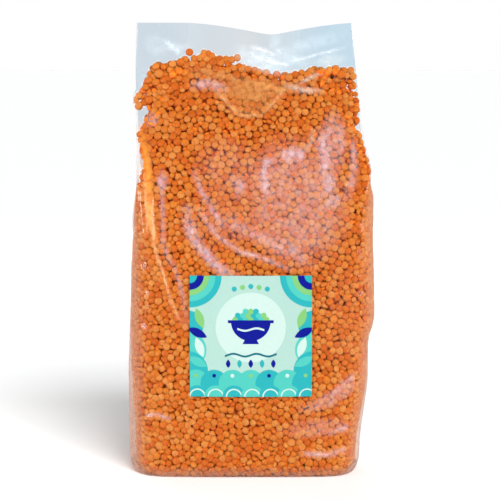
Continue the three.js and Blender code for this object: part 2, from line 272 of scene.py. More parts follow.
# Shape of the film
PANEL_WIDTHS = np.array([PANEL_WIDTH, GUSSET_WIDTH, PANEL_WIDTH, GUSSET_WIDTH], float)
PANEL_STARTS = np.concatenate([[0], np.cumsum(PANEL_WIDTHS)[:-1]])
GIRTH = PANEL_WIDTHS.sum()
# A place on one panel and the place behind it on the other add up to this
OPPOSITE_SUM = 2 * PANEL_WIDTH + GUSSET_WIDTH
FILM_PROFILES = {"left": LEFT_FOLD, "right": RIGHT_FOLD, "half": HALF_DEPTH, "fold": FOLD_DEPTH,
                 "left_bulge": LEFT_BULGE, "right_bulge": RIGHT_BULGE, "tuck": GUSSET_TUCK,
                 "softness": EDGE_SOFTNESS}
SOFTENING_STEPS = np.linspace(-2, 2, 13)
TANGENT_STEP = 0.6
# Relief starts at the first distance from the label, and is full from the second
LABEL_CALM = (1, 6)
LABEL_STEPS = 10


def profile(stations, height):
    """The value of a profile at a height: straight between its stations, averaged over a short height."""
    heights, values = zip(*stations)
    below = np.interp(height - PROFILE_EASE, heights, values)
    above = np.interp(height + PROFILE_EASE, heights, values)
    return (below + 2 * np.interp(height, heights, values) + above) / 4


def smoothstep(value, low, high):
    share = np.clip((value - low) / (high - low), 0, 1)
    return share * share * (3 - 2 * share)


def panel_at(along):
    """The panel that a place round the bag is on, and its share along that panel."""
    along = np.mod(along, GIRTH)
    panel = np.searchsorted(PANEL_STARTS, along, side="right") - 1
    return panel, (along - PANEL_STARTS[panel]) / PANEL_WIDTHS[panel]


def film_sizes(height):
    return {name: profile(stations, height) for name, stations in FILM_PROFILES.items()}


def core_sizes(height):
    """The core's sizes: the film's, drawn in on every side to lie behind two layers of lentils."""
    size = film_sizes(height)
    size["left"] = size["left"] + CORE_SIDE_DEPTH + profile(LEFT_MARGIN, height)
    size["right"] = size["right"] - CORE_SIDE_DEPTH - profile(RIGHT_MARGIN, height)
    size["half"] = np.maximum(size["half"] - CORE_DEPTH, CORE_LEAST_HALF)
    size["fold"] = np.maximum(size["fold"] - CORE_DEPTH, CORE_LEAST_FOLD)
    size["left_bulge"] = size["left_bulge"] - profile(LEFT_STANDOFF, height)
    size["right_bulge"] = size["right_bulge"] - profile(RIGHT_STANDOFF, height)
    size["tuck"] = size["tuck"] + CORE_TUCK_DEPTH * smoothstep(size["tuck"], 0, CORE_TUCK_EASE)
    return size


def sharp_outline(along, size):
    panel, share = panel_at(along)
    centred = 2 * share - 1
    crown = 1 - centred ** 2
    tuck = size["tuck"] * (1 - np.abs(centred))
    depth = size["fold"] + (size["half"] - size["fold"]) * crown
    across = size["fold"] * centred
    span = size["right"] - size["left"]
    x = np.choose(panel, [
        size["left"] + share * span,
        size["right"] + size["right_bulge"] * crown - tuck,
        size["right"] - share * span,
        size["left"] - size["left_bulge"] * crown + tuck,
    ])
    y = np.choose(panel, [-depth, across, depth, -across])
    return x, y


def soft_outline(along, size):
    """The outline with its vertical edges rounded, by averaging it over a short way round the bag."""
    x = y = total = 0
    for step in SOFTENING_STEPS:
        weight = math.exp(-step * step / 2)
        sharp_x, sharp_y = sharp_outline(along + step * size["softness"], size)
        x = x + weight * sharp_x
        y = y + weight * sharp_y
        total += weight
    return x / total, y / total


def header_bend(x, height):
    """Share of the header's forward bend and dip that a place has."""
    ramp = smoothstep(height, HEADER_FOLD["from"], BAG_HEIGHT)
    aside = np.hypot(x - HEADER_FOLD["x"], HEADER_FOLD["round"]) - HEADER_FOLD["round"]
    return ramp * np.maximum(0, 1 - aside / HEADER_FOLD["reach"]) ** HEADER_FOLD["power"]


def smooth_surface(along, height, sizes=film_sizes):
    """Places on the bag with no folds or bumps, as an array of points."""
    along, height = np.broadcast_arrays(np.asarray(along, float), np.asarray(height, float))
    x, y = soft_outline(along, sizes(height))
    low = 1 - np.clip(height / BASE_ROUND_HEIGHT, 0, 1)
    pull = BASE_ROUND * (1 - np.sqrt(1 - low * low))
    keep = 1 - pull / np.hypot(x, y)
    x = x * keep
    y = y * keep
    bend = header_bend(x, height)
    return np.stack([x, y - HEADER_FOLD["forward"] * bend, height - HEADER_FOLD["dip"] * bend], -1)


def unit(vectors):
    return vectors / np.maximum(np.linalg.norm(vectors, axis=-1, keepdims=True), 1e-9)


def surface_frame(along, height):
    """Points of the surface with its two tangents and its outward normal."""
    step = TANGENT_STEP
    point = smooth_surface(along, height)
    side = (smooth_surface(along + step, height) - smooth_surface(along - step, height)) / (2 * step)
    rise = (smooth_surface(along, height + step) - smooth_surface(along, height - step)) / (2 * step)
    return point, side, rise, unit(np.cross(side, rise))


def outside_label(x, z):
    """0 under the label, so that it lies flat, and 1 a little way outside it."""
    past = np.maximum(np.abs(x - LABEL_CENTRE[0]), np.abs(z - LABEL_CENTRE[1])) - LABEL_SIDE / 2
    return smoothstep(past, *LABEL_CALM)


def front_place(x, height):
    """The place round the bag of an x on the front panel."""
    size = film_sizes(height)
    return PANEL_WIDTH * (x - size["left"]) / (size["right"] - size["left"])


def front_depth(x, z):
    return soft_outline(front_place(x, z), film_sizes(z))[1]


# The CAD model's origin is the middle of its box, so the label's box gives the shift from these sizes
label_low, label_high = (np.array(corner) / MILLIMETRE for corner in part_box("label"))
label_grid = LABEL_SIDE * (np.arange(LABEL_STEPS + 1) / LABEL_STEPS - 0.5)
label_depths = front_depth(LABEL_CENTRE[0] + label_grid[:, None], LABEL_CENTRE[1] + label_grid[None, :])
label_front = label_depths.min() - LABEL_GAP - LABEL_THICKNESS
SHIFT = np.array([
    (label_low[0] + label_high[0]) / 2 - LABEL_CENTRE[0],
    label_low[1] - label_front,
    (label_low[2] + label_high[2]) / 2 - LABEL_CENTRE[1],
])


# Meshes
def new_piece(name, points, faces, material, replaced="bag"):
    """A smooth object from points in millimetres and faces, which replaces a node of the CAD model."""
    points = (np.asarray(points, float).reshape(-1, 3) + SHIFT) * MILLIMETRE
    mesh = bpy.data.meshes.new(name)
    mesh.from_pydata(points.tolist(), [], np.asarray(faces).tolist(), shade_flat=False)
    mesh.materials.append(material)
    piece = bpy.data.objects.new(name, mesh)
    bpy.context.scene.collection.objects.link(piece)
    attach(piece, "root")
    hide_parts(replaced)
    return piece


def colour_points(piece, name, colours):
    attribute = piece.data.attributes.new(name, "FLOAT_COLOR", "POINT")
    attribute.data.foreach_set("color", np.asarray(colours, np.float32).ravel())


def tube_faces(rows, columns):
    """Quads round a grid of rows by columns, with both ends closed by strips across the bag."""
    index = np.arange(rows * columns).reshape(rows, columns)
    right = np.roll(index, -1, axis=1)
    walls = np.stack([index[:-1], right[:-1], right[1:], index[1:]], -1).reshape(-1, 4)
    gusset_steps = columns * GUSSET_WIDTH // int(GIRTH)
    first = columns - (gusset_steps + 1) // 2
    step = np.arange(columns // 2 - 1)
    front = (first + step) % columns
    back = first - 1 - step
    corners = [front, back, back - 1, (front + 1) % columns]
    base = np.stack([index[0, corner] for corner in corners], -1)
    top = np.stack([index[-1, corner] for corner in corners[:1] + corners[:0:-1]], -1)
    return np.concatenate([walls, base, top])


def grid_places(columns, heights):
    """Places of a grid round the bag: even steps round it, so that its folds lie on columns."""
    along = np.arange(columns) * GIRTH / columns
    return np.meshgrid(along, heights)


def row_heights(base_rows, rows):
    """Heights of rows that are close together round the base's edge and even above it."""
    turn = np.arange(base_rows) / base_rows * math.pi / 2
    low = BASE_ROUND_HEIGHT * (1 - np.cos(turn))
    return np.concatenate([low, np.linspace(BASE_ROUND_HEIGHT, BAG_HEIGHT, rows)])


# Where the lentils lie
def gusset_value(left, right, along, height):
    """What two profiles give at the middles of the gussets, less towards their folds, and 0 on the panels."""
    panel, share = panel_at(along)
    crown = 1 - (2 * share - 1) ** 2
    return np.choose(panel, [0, profile(right, height), 0, profile(left, height)]) * crown


def standoff(along, height):
    return gusset_value(LEFT_STANDOFF, RIGHT_STANDOFF, along, height)


def is_filled(along, height, depth):
    """Whether lentils reach a place on the film: under the fill line, and not beside a folded edge."""
    point = smooth_surface(along, height)
    panel, share = panel_at(along)
    width = PANEL_WIDTHS[panel]
    from_start = share * width
    from_end = width - from_start
    left = np.interp(height, *zip(*LEFT_MARGIN))
    right = np.interp(height, *zip(*RIGHT_MARGIN))
    start_margin = np.choose(panel, [left, right, right, left])
    end_margin = np.choose(panel, [right, right, left, left])
    under_line = height < np.interp(point[..., 0], *zip(*FILL_LINE)) - depth
    return under_line & (height > LOWEST_PLACE) & (from_start > start_margin) & (from_end > end_margin)


def point_tree(points):
    """A tree of points, to find near ones in."""
    tree = kdtree.KDTree(len(points))
    for i, point in enumerate(points):
        tree.insert(point, i)
    tree.balance()
    return tree


def near_pairs(points, reach):
    tree = point_tree(points)
    pairs = []
    for i, point in enumerate(points):
        pairs.extend((i, j) for _, j, _ in tree.find_range(point, reach) if j > i)
    return np.array(pairs)


def staggered_places(pitch):
    """Places round the bag in staggered rows, each shaken about."""
    rows = round(FILL_TOP / (pitch * math.sqrt(0.75)))
    columns = round(GIRTH / pitch)
    row, column = np.divmod(np.arange(rows * columns), columns)
    shaken = random.uniform(-ROW_SHAKE, ROW_SHAKE, (2, len(row)))
    along = (column + 0.5 * (row % 2) + shaken[0]) * GIRTH / columns
    return along, np.maximum((row + 0.5 + shaken[1]) * FILL_TOP / rows, LOWEST_START)


def spread(pitch, inset, passes):
    """Scatters lentils over the filling and pushes near ones apart, at a depth under the film."""
    along, height = staggered_places(pitch)
    filled = is_filled(along, height, inset - LENTIL_RADIUS)
    along = np.mod(along[filled], GIRTH)
    height = height[filled]
    radius = np.clip(random.normal(LENTIL_RADIUS, RADIUS_SPREAD, len(along)), *RADIUS_LIMITS)
    pairs = None
    for step in range(passes):
        surface, side, rise, normal = surface_frame(along, height)
        point = surface - (inset + standoff(along, height))[:, None] * normal
        if step % 3 == 0:
            pairs = near_pairs(point, NEIGHBOUR_REACH)
        first, second = pairs.T
        gap = point[second] - point[first]
        sunk = (gap * normal[first]).sum(1)
        distance = np.sqrt((gap ** 2).sum(1) + (LENTIL_FLATNESS ** -2 - 1) * sunk ** 2) + 1e-6
        short = np.maximum(0, LENTIL_SPACING * (radius[first] + radius[second]) - distance)
        push = gap / distance[:, None] * (0.5 * short)[:, None]
        moved = np.zeros_like(point)
        np.add.at(moved, first, -push)
        np.add.at(moved, second, push)
        new_along = along + (moved * side).sum(1) / (side ** 2).sum(1)
        new_height = height + (moved * rise).sum(1) / (rise ** 2).sum(1)
        stays = is_filled(new_along, new_height, inset - LENTIL_RADIUS)
        along = np.where(stays, new_along, along)
        height = np.where(stays, new_height, height)
    return along, height, radius


def clearance(points):
    """How far inside the film each point lies, from a coarse sampling of the whole film."""
    along, height = grid_places(CLEARANCE_COLUMNS, np.linspace(0, BAG_HEIGHT, CLEARANCE_ROWS))
    surface, _, _, normal = surface_frame(along.ravel(), height.ravel())
    tree = point_tree(surface)
    nearest = np.array([tree.find(point)[1] for point in points])
    return ((surface[nearest] - points) * normal[nearest]).sum(1)


def lay_lentils(pitch, inset, passes, lying_flat, loose=()):
    """A layer of lentils under the film: the share lying flat lie along it, and the others stand steep."""
    along, height, radius = spread(pitch, inset, passes)
    for x, loose_height in loose:
        along = np.append(along, front_place(x, loose_height))
        height = np.append(height, loose_height)
        radius = np.append(radius, LENTIL_RADIUS)
    surface, side, _, normal = surface_frame(along, height)
    half = radius * LENTIL_FLATNESS * random.uniform(*THICKNESSES, len(radius))
    steep = random.random(len(radius)) > lying_flat
    tilt = np.where(steep, random.uniform(*STEEP_TILTS, len(radius)),
                    np.abs(random.normal(0, FLAT_TILT, len(radius))))
    thin = profile(HALF_DEPTH, height) < THIN_DEPTH
    tilt = np.where(thin, THIN_TILT_SHARE * tilt, tilt)
    turn = random.uniform(0, 2 * math.pi, len(radius))
    side = unit(side)
    other = np.cross(normal, side)
    lean = side * np.cos(turn)[:, None] + other * np.sin(turn)[:, None]
    axis = normal * np.cos(tilt)[:, None] + lean * np.sin(tilt)[:, None]
    reach = np.hypot(half * np.cos(tilt), radius * np.sin(tilt))
    sunk = np.abs(random.normal(0, LENTIL_SINK, len(radius)))
    depth = reach + sunk + inset - LENTIL_FLATNESS * LENTIL_RADIUS + standoff(along, height)
    panel, _ = panel_at(along)
    middle = np.abs(surface[:, 1] + HEADER_FOLD["forward"] * header_bend(surface[:, 0], height))
    depth = np.where(panel % 2 == 0, np.minimum(depth, middle), depth)
    centre = surface - depth[:, None] * normal
    low_reach = np.hypot(half * axis[:, 2], radius * np.sqrt(1 - axis[:, 2] ** 2))
    centre[:, 2] = np.maximum(centre[:, 2], low_reach + FLOOR_GAP)
    pressed = (panel % 2 == 0) & (height > PRESSED_ABOVE)
    enough = pressed | (clearance(centre) > np.where(thin, -1, INSIDE_SHARE * half))
    layer = {"along": along, "height": height, "centre": centre, "axis": axis, "radius": radius, "half": half}
    return {name: values[enough] for name, values in layer.items()}


def lentil_form(angles, segments):
    """A unit lens: rings at angles above its rim, in degrees, from its outer pole to its inner one."""
    points = []
    for angle in angles:
        across = abs(math.cos(math.radians(angle))) ** RIM_POWER
        up = math.copysign(abs(math.sin(math.radians(angle))) ** FACE_POWER, angle)
        ring = 1 if abs(angle) == 90 else segments
        for i in range(ring):
            turn = 2 * math.pi * i / segments
            points.append((across * math.cos(turn), across * math.sin(turn), up) if ring > 1 else (0, 0, up))
    faces = []
    starts = [0] + [1 + segments * i for i in range(len(angles) - 1)]
    last = len(points) - 1
    for i in range(segments):
        j = (i + 1) % segments
        faces.append((0, 1 + i, 1 + j))
        for a, b in zip(starts[1:-1], starts[2:-1]):
            faces.append((a + i, b + i, b + j))
            faces.append((a + i, b + j, a + j))
        faces.append((starts[-2] + i, last, starts[-2] + j))
    return np.array(points), np.array(faces)


def lentil_piece(name, layer, chosen, form, material, tone):
    """One joined mesh of the chosen lentils of a layer, each a little uneven and with its own tone."""
    points, faces = form
    count = int(chosen.sum())
    axis = layer["axis"][chosen]
    first = unit(np.cross(axis, random.normal(size=(count, 3))))
    second = np.cross(axis, first)
    radius = layer["radius"][chosen][:, None]
    shape = points[None] * (1 + random.normal(0, UNEVENNESS, (count, len(points), 1)))
    oval = random.uniform(*OVALS, (count, 1))
    local_x = shape[..., 0] * radius * oval
    local_y = shape[..., 1] * radius
    local_z = shape[..., 2] * layer["half"][chosen][:, None]
    places = (layer["centre"][chosen][:, None] + local_x[..., None] * first[:, None]
              + local_y[..., None] * second[:, None] + local_z[..., None] * axis[:, None])
    all_faces = faces[None] + len(points) * np.arange(count)[:, None, None]
    piece = new_piece(name, places, all_faces.reshape(-1, 3), material)
    tones = np.repeat(np.clip(random.normal(tone, TONE_SPREAD, count), 0, 1), len(points))
    colour_points(piece, "tone", np.stack([tones, tones, tones, np.ones_like(tones)], -1))


# Materials
def node(tree, kind, **values):
    """A shader node with its settings and the values of its inputs, whose names start with a capital."""
    made = tree.nodes.new("ShaderNode" + kind)
    for name, value in values.items():
        if name[0].isupper():
            made.inputs[name.replace("_", " ")].default_value = value
        else:
            setattr(made, name, value)
    return made


def number(tree, operation, *values):
    """A node that works out a number, with the values of its inputs after the first one."""
    made = node(tree, "Math", operation=operation)
    for i, value in enumerate(values, 1):
        made.inputs[i].default_value = value
    return made


def colour_ramp(tree, *stops):
    made = node(tree, "ValToRGB")
    for element, (position, colour) in zip(made.color_ramp.elements, stops):
        element.position = position
        element.color = colour
    return made


def link(tree, *rows):
    """Joins nodes, as rows of a node, its output, the next node and its input."""
    for start, output, end, entry in rows:
        tree.links.new(start.outputs[output], end.inputs[entry])


def noise(tree, scale, detail, roughness, distortion=0):
    """Noise that is fixed to the object."""
    made = node(tree, "TexNoise", Scale=scale, Detail=detail, Roughness=roughness, Distortion=distortion)
    link(tree, (node(tree, "TexCoord"), "Object", made, "Vector"))
    return made


def add_bump(tree, height, shader, strength, distance):
    made = node(tree, "Bump", Strength=strength, Distance=distance)
    link(tree, (height, "Fac", made, "Height"), (made, "Normal", shader, "Normal"))


def new_material(name):
    material = bpy.data.materials.new(name)
    material.use_nodes = True
    tree = material.node_tree
    tree.nodes.clear()
    return material, tree, node(tree, "OutputMaterial")


def linear(colour):
    """An opaque colour from its screen values of 0 to 255."""
    return tuple(((value / 255 + 0.055) / 1.055) ** 2.4 if value > 10 else value / 3295
                 for value in colour) + (1.0,)


def lentil_material(name, dark, light):
    """Waxy lentils between two screen colours by their own tone, with fine speckles and a fine bump."""
    material, tree, output = new_material(name)
    shader = node(tree, "BsdfPrincipled", Roughness=0.46, Specular_IOR_Level=0.3,
                  Subsurface_Weight=0.7, Subsurface_Radius=(1.0, 0.55, 0.3), Subsurface_Scale=0.0009)
    tone = node(tree, "Attribute", attribute_name="tone")
    speckle = noise(tree, scale=900, detail=3, roughness=0.6)
    blend = number(tree, "MULTIPLY_ADD", 0.5)
    ramp = colour_ramp(tree, (0.25, linear(dark)), (1.0, linear(light)))
    add_bump(tree, speckle, shader, strength=0.15, distance=0.0002)
    link(tree, (speckle, "Fac", blend, 0), (tone, "Fac", blend, 2), (blend, "Value", ramp, "Fac"),
         (ramp, "Color", shader, "Base Color"), (shader, "BSDF", output, "Surface"))
    return material


def film_material():
    """Clear film with a tint, a gloss, and a milky haze with painted glare and highlights from its points,
    mottled at the size of lentils.
    """
    material, tree, output = new_material("clear_film")
    haze_and_glare = node(tree, "Attribute", attribute_name="haze_and_glare")
    tint = node(tree, "Attribute", attribute_name="tint")
    mottle = noise(tree, scale=230, detail=2, roughness=0.55)
    broken = node(tree, "MapRange", From_Min=0.36, From_Max=0.66, To_Min=0.5, To_Max=1.35)
    amount = number(tree, "MULTIPLY")
    creases = noise(tree, scale=75, detail=4, roughness=0.6, distortion=1.2)
    clear = node(tree, "BsdfTransparent")
    gloss = node(tree, "BsdfPrincipled", Base_Color=(1, 1, 1, 1), Metallic=1.0, Roughness=0.1)
    add_bump(tree, creases, gloss, strength=0.5, distance=0.0006)
    milk_and_glare = node(tree, "BsdfPrincipled", Roughness=0.35)
    facing = node(tree, "LayerWeight", Blend=0.5)
    grazing = number(tree, "POWER", 4)
    edge = number(tree, "POWER", 2.3)
    edge_haze_and_glare = number(tree, "MULTIPLY_ADD", 0.5)
    reflection = number(tree, "MULTIPLY_ADD", 0.1, 0.025)
    glossy = number(tree, "MULTIPLY")
    shine = node(tree, "MixShader")
    body = node(tree, "MixShader")
    link(tree, (mottle, "Fac", broken, "Value"), (broken, "Result", amount, 0), (haze_and_glare, "Alpha", amount, 1),
         (facing, "Facing", grazing, 0), (grazing, "Value", reflection, 0), (facing, "Facing", edge, 0),
         (edge, "Value", edge_haze_and_glare, 0), (amount, "Value", edge_haze_and_glare, 2), (reflection, "Value", glossy, 0),
         (tint, "Alpha", glossy, 1), (glossy, "Value", shine, "Fac"), (tint, "Color", clear, "Color"),
         (clear, "BSDF", shine, 1), (gloss, "BSDF", shine, 2), (haze_and_glare, "Color", milk_and_glare, "Base Color"),
         (edge_haze_and_glare, "Value", body, "Fac"), (shine, "Shader", body, 1), (milk_and_glare, "BSDF", body, 2),
         (body, "Shader", output, "Surface"))
    return material


# Contents
outer = lay_lentils(OUTER_PITCH, LENTIL_FLATNESS * LENTIL_RADIUS, passes=24, lying_flat=0.8,
                    loose=LOOSE_LENTILS)
inner = lay_lentils(INNER_PITCH, INNER_DEPTH, passes=8, lying_flat=0.5)
outer_form = lentil_form((90, 55, 25, 0, -35, -90), segments=9)
inner_form = lentil_form((90, 40, 0, -90), segments=8)
kinds = random.random(len(outer["radius"]))
# The outer kinds: the share of all lentils that each ends at, its dark and light colour and its tone
LENTIL_KINDS = [
    ("lentils_orange", 0.38, (188, 98, 23), (200, 118, 40), 0.5),
    ("lentils_deep", 0.7, (181, 85, 17), (197, 105, 30), 0.45),
    ("lentils_pale", 1, (191, 109, 39), (202, 129, 60), 0.55),
]
low = 0
for name, high, dark, light, tone in LENTIL_KINDS:
    chosen = (kinds >= low) & (kinds < high)
    lentil_piece(name, outer, chosen, outer_form, lentil_material(name, dark, light), tone)
    low = high
# The inner layer and the core are lighter and redder than the outer lentils: painted light that lifts the
# shaded gaps between them
inner_material = lentil_material("lentils_inner", (219, 105, 21), (231, 126, 37))
lentil_piece("lentils_inner", inner, np.ones(len(inner["radius"]), bool), inner_form, inner_material, 0.5)

core_points = smooth_surface(*grid_places(CORE_COLUMNS, np.linspace(*CORE_SPAN, CORE_ROWS)), core_sizes)
# Lighter than the outer lentils, as painted light in the gaps
core_material = lentil_material("lentil_core", (219, 102, 20), (231, 121, 35))
new_piece("lentil_core", core_points, tube_faces(CORE_ROWS, CORE_COLUMNS), core_material)


# Film
FILM_COLUMNS = 396
FILM_BASE_ROWS = 7
FILM_ROWS = 238
# How film lies over lentils, and the half depth up to which both panels lie over the same ones
SAG = 0.7
FILM_STANDOFF = 0.1
RELIEF_LIMITS = (-0.5, 1)
DRAPE_STEPS = range(-3, 4)
SHARED_DEPTH = 6
# The spans of heights over which relief and folds set in above the base
RELIEF_RISE = (0, 4)
FOLD_RISE = (2, 13)
THIN_FOLD_LOSS = 0.2
# The haze at a band's ends, the milk of the base, the trace that colours grazing film, and the most haze
# and painted glare there is
BAND_END_SHARE = 0.35
BASE_MILK = 0.5
BASE_MILK_FADE = (1, 8)
EDGE_MILK = 0.01
MOST_HAZE_AND_GLARE = 0.62
# How the tint of empty film sets in above the contents and beside the folds
ABOVE_EASE = (-2, 3)
LEFT_EASE = (-1, 2)
RIGHT_EASE = (-1, 1)
RIGHT_TINT = 0.7
# The gloss that gussets lose where they are tucked into the header
TUCKED_GLOSS_LOSS = 0.8
TUCKED_SPAN = (240, 262)


def fold_rise(fold, x, z):
    """How far a fold lifts the film."""
    (x0, z0), (x1, z1), bow, width, rise = fold
    length = math.hypot(x1 - x0, z1 - z0)
    dx = (x1 - x0) / length
    dz = (z1 - z0) / length
    share = np.clip(((x - x0) * dx + (z - z0) * dz) / length, 0, 1)
    offset = (z - z0) * dx - (x - x0) * dz + 4 * bow * share * (1 - share)
    return rise * np.exp(-(offset / width) ** 2) * np.sqrt(np.sin(math.pi * share).clip(0))


def band_share(line, width, x, z):
    """How strongly a hazy band covers a place: most along its line, thinning out towards its ends."""
    line = np.array(line, float)
    steps = np.linalg.norm(np.diff(line, axis=0), axis=1)
    total = steps.sum()
    nearest = np.full(x.shape, 1e9)
    along = np.zeros(x.shape)
    before = 0
    for (x0, z0), (x1, z1), step in zip(line[:-1], line[1:], steps):
        share = np.clip(((x - x0) * (x1 - x0) + (z - z0) * (z1 - z0)) / step ** 2, 0, 1)
        away = np.hypot(x - x0 - share * (x1 - x0), z - z0 - share * (z1 - z0))
        closer = away < nearest
        nearest = np.where(closer, away, nearest)
        along = np.where(closer, before + share * step, along)
        before += step
    thinning = smoothstep(np.minimum(along, total - along), -1, 0.25 * total)
    return np.exp(-(nearest / width) ** 2) * (BAND_END_SHARE + (1 - BAND_END_SHARE) * thinning)


def drape(points, normals, along, height):
    """How far the film stands out from the smooth surface to lie over the lentils under it."""
    rows, columns = along.shape
    relief = np.full(along.shape, -SAG)
    pitch = GIRTH / columns
    heights = height[:, 0]
    panel, _ = panel_at(outer["along"])
    shared = (profile(HALF_DEPTH, outer["height"]) < SHARED_DEPTH) & (panel % 2 == 0)
    every = np.ones(len(shared), bool)
    for places, used in ((outer["along"], every), (OPPOSITE_SUM - outer["along"], shared)):
        row = np.searchsorted(heights, outer["height"][used])
        column = np.round(places[used] / pitch).astype(int)
        for row_step in DRAPE_STEPS:
            for column_step in DRAPE_STEPS:
                r = np.clip(row + row_step, 0, rows - 1)
                c = (column + column_step) % columns
                gap = points[r, c] - outer["centre"][used]
                away = (gap * normals[r, c]).sum(1)
                aside = (gap ** 2).sum(1) - away ** 2
                bow = 1 - aside / outer["radius"][used] ** 2
                top = outer["half"][used] * np.sqrt(bow.clip(0)) - away
                np.maximum.at(relief, (r[bow > 0], c[bow > 0]), top[bow > 0])
    return relief


def over_lentils(points):
    """Whether a lentil lies straight in front of or behind each place of a panel."""
    tree = point_tree([(x, 0, z) for x, _, z in outer["centre"]])
    nearest = [tree.find((x, 0, z)) for x, _, z in points]
    return np.array([distance < outer["radius"][i] for _, i, distance in nearest])


def stretched(grid):
    """The film spans the dips between lentils: the highest place nearby, smoothed."""
    for _ in range(2):
        grid = np.maximum(grid, np.maximum(np.roll(grid, 1, 1), np.roll(grid, -1, 1)))
        grid[1:-1] = np.maximum(grid[1:-1], np.maximum(grid[:-2], grid[2:]))
    for _ in range(2):
        grid = (grid + np.roll(grid, 1, 1) + np.roll(grid, -1, 1)) / 3
        grid[1:-1] = (grid[:-2] + grid[1:-1] + grid[2:]) / 3
    return grid


def patch_share(middle, reach, degrees, even, x, z):
    """How strongly a soft-edged oval patch covers a place on a panel."""
    turn = math.radians(degrees)
    dx = x - middle[0]
    dz = z - middle[1]
    across = (dx * math.cos(turn) + dz * math.sin(turn)) / reach[0]
    up = (dz * math.cos(turn) - dx * math.sin(turn)) / reach[1]
    return 1 - smoothstep(np.hypot(across, up), even, 1)


def header_tint(x, z):
    """The tint of empty film, from side to side of the header, with a faint diagonal ripple of painted shade.
    """
    tint_x, colours = zip(*HEADER_TINTS)
    tint = np.stack([np.interp(x, tint_x, channel) for channel in zip(*colours)], -1)
    painted_shade_ripple = np.sin(x / 9 + z / 14 + 0.6) * np.cos(x / 17 - z / 23)
    return tint * (1 + 0.02 * painted_shade_ripple[..., None])


film_along, film_z = grid_places(FILM_COLUMNS, row_heights(FILM_BASE_ROWS, FILM_ROWS))
film_points, _, _, film_normals = surface_frame(film_along, film_z)
panel, share = panel_at(film_along)
film_x = film_points[..., 0]
off_label = np.where(panel == 0, outside_label(film_x, film_z), 1)
draped = stretched(drape(film_points, film_normals, film_along, film_z)) * off_label
draped = np.clip(draped, *RELIEF_LIMITS) * smoothstep(film_z, *RELIEF_RISE)
fold_lift = np.zeros_like(film_x)
# The marks are milky film and painted glare and highlights, each an amount and a colour at every point
haze_and_glare_marks = []
for side, folds, bands, patches in ((0, FRONT_FOLDS, FRONT_BANDS, FRONT_PATCHES),
                                    (2, BACK_FOLDS, BACK_BANDS, BACK_PATCHES)):
    on_side = panel == side
    for fold in folds:
        fold_lift += np.where(on_side, fold_rise(fold, film_x, film_z), 0)
    for amount, width, colour, line in bands:
        cover = band_share(line, width, film_x, film_z)
        haze_and_glare_marks.append((np.where(on_side, amount * cover, 0), colour))
    for middle, reach, degrees, even, amount, colour in patches:
        cover = patch_share(middle, reach, degrees, even, film_x, film_z)
        haze_and_glare_marks.append((np.where(on_side, amount * cover, 0), colour))
haze_and_glare_marks.append((BASE_MILK * (1 - smoothstep(film_z, *BASE_MILK_FADE)), DUSTY))
haze_and_glare_marks.append((gusset_value(LEFT_MILK, RIGHT_MILK, film_along, film_z), EDGE_FILLED))
haze_and_glare = sum(amount for amount, _ in haze_and_glare_marks)
haze_and_glare_colour = sum(amount[..., None] * np.array(colour) for amount, colour in haze_and_glare_marks)
above = smoothstep(film_z - np.interp(film_x, *zip(*FILL_LINE)), *ABOVE_EASE)
edge_colour = np.array(EDGE_FILLED) + above[..., None] * (np.array(EDGE_EMPTY) - EDGE_FILLED)
haze_and_glare_colour = (haze_and_glare_colour + EDGE_MILK * edge_colour) / (haze_and_glare + EDGE_MILK)[..., None]
strength = np.clip(profile(HALF_DEPTH, film_z) / FULL_RELIEF_DEPTH - THIN_FOLD_LOSS, 0, 1)
strength = strength * smoothstep(film_z, *FOLD_RISE) * off_label
relief = draped + FILM_STANDOFF + fold_lift * strength
film_points = film_points + relief[..., None] * film_normals
film = new_piece("film", film_points, tube_faces(FILM_BASE_ROWS + FILM_ROWS, FILM_COLUMNS), film_material())
colour_points(film, "haze_and_glare", np.concatenate([haze_and_glare_colour, haze_and_glare.clip(0, MOST_HAZE_AND_GLARE)[..., None]], -1))
left_gap = np.interp(film_z, *zip(*LEFT_MARGIN)) - (1 - share) * PANEL_WIDTH
right_gap = np.interp(film_z, *zip(*RIGHT_MARGIN)) - share * PANEL_WIDTH
beside = np.maximum(smoothstep(left_gap, *LEFT_EASE), RIGHT_TINT * smoothstep(right_gap, *RIGHT_EASE))
empty = np.where(panel == 2, np.maximum(above, beside), 0)
tinted = empty > 0
empty[tinted] *= ~over_lentils(film_points[tinted])
tint = np.array(CLEAR_TINT) + empty[..., None] * (header_tint(film_x, film_z) - CLEAR_TINT)
gloss_share = np.where(panel % 2 == 1, 1 - TUCKED_GLOSS_LOSS * smoothstep(film_z, *TUCKED_SPAN), 1)
colour_points(film, "tint", np.concatenate([tint, gloss_share[..., None]], -1))


# Label
LABEL_GRID = 16
INKS = {"paper_mint": (154, 187, 177), "ink_pale_mint": (177, 200, 193), "ink_sea_green": (69, 174, 163),
        "ink_lime": (114, 173, 103), "ink_teal": (34, 154, 159), "ink_deep_teal": (14, 98, 112),
        "ink_navy": (4, 16, 127)}
MINT, PALE_MINT, SEA_GREEN, LIME, TEAL, DEEP_TEAL, NAVY = INKS


def arc(centre, radius, start, end, steps=24):
    turns = np.radians(np.linspace(start, end, steps + 1))
    return [(centre[0] + radius * math.cos(turn), centre[1] + radius * math.sin(turn)) for turn in turns]


def disc(centre, radius, steps=24):
    return arc(centre, radius, 0, 360, steps)[:-1]


def ring(centre, outside, inside, start, end):
    return arc(centre, outside, start, end) + arc(centre, inside, start, end)[::-1]


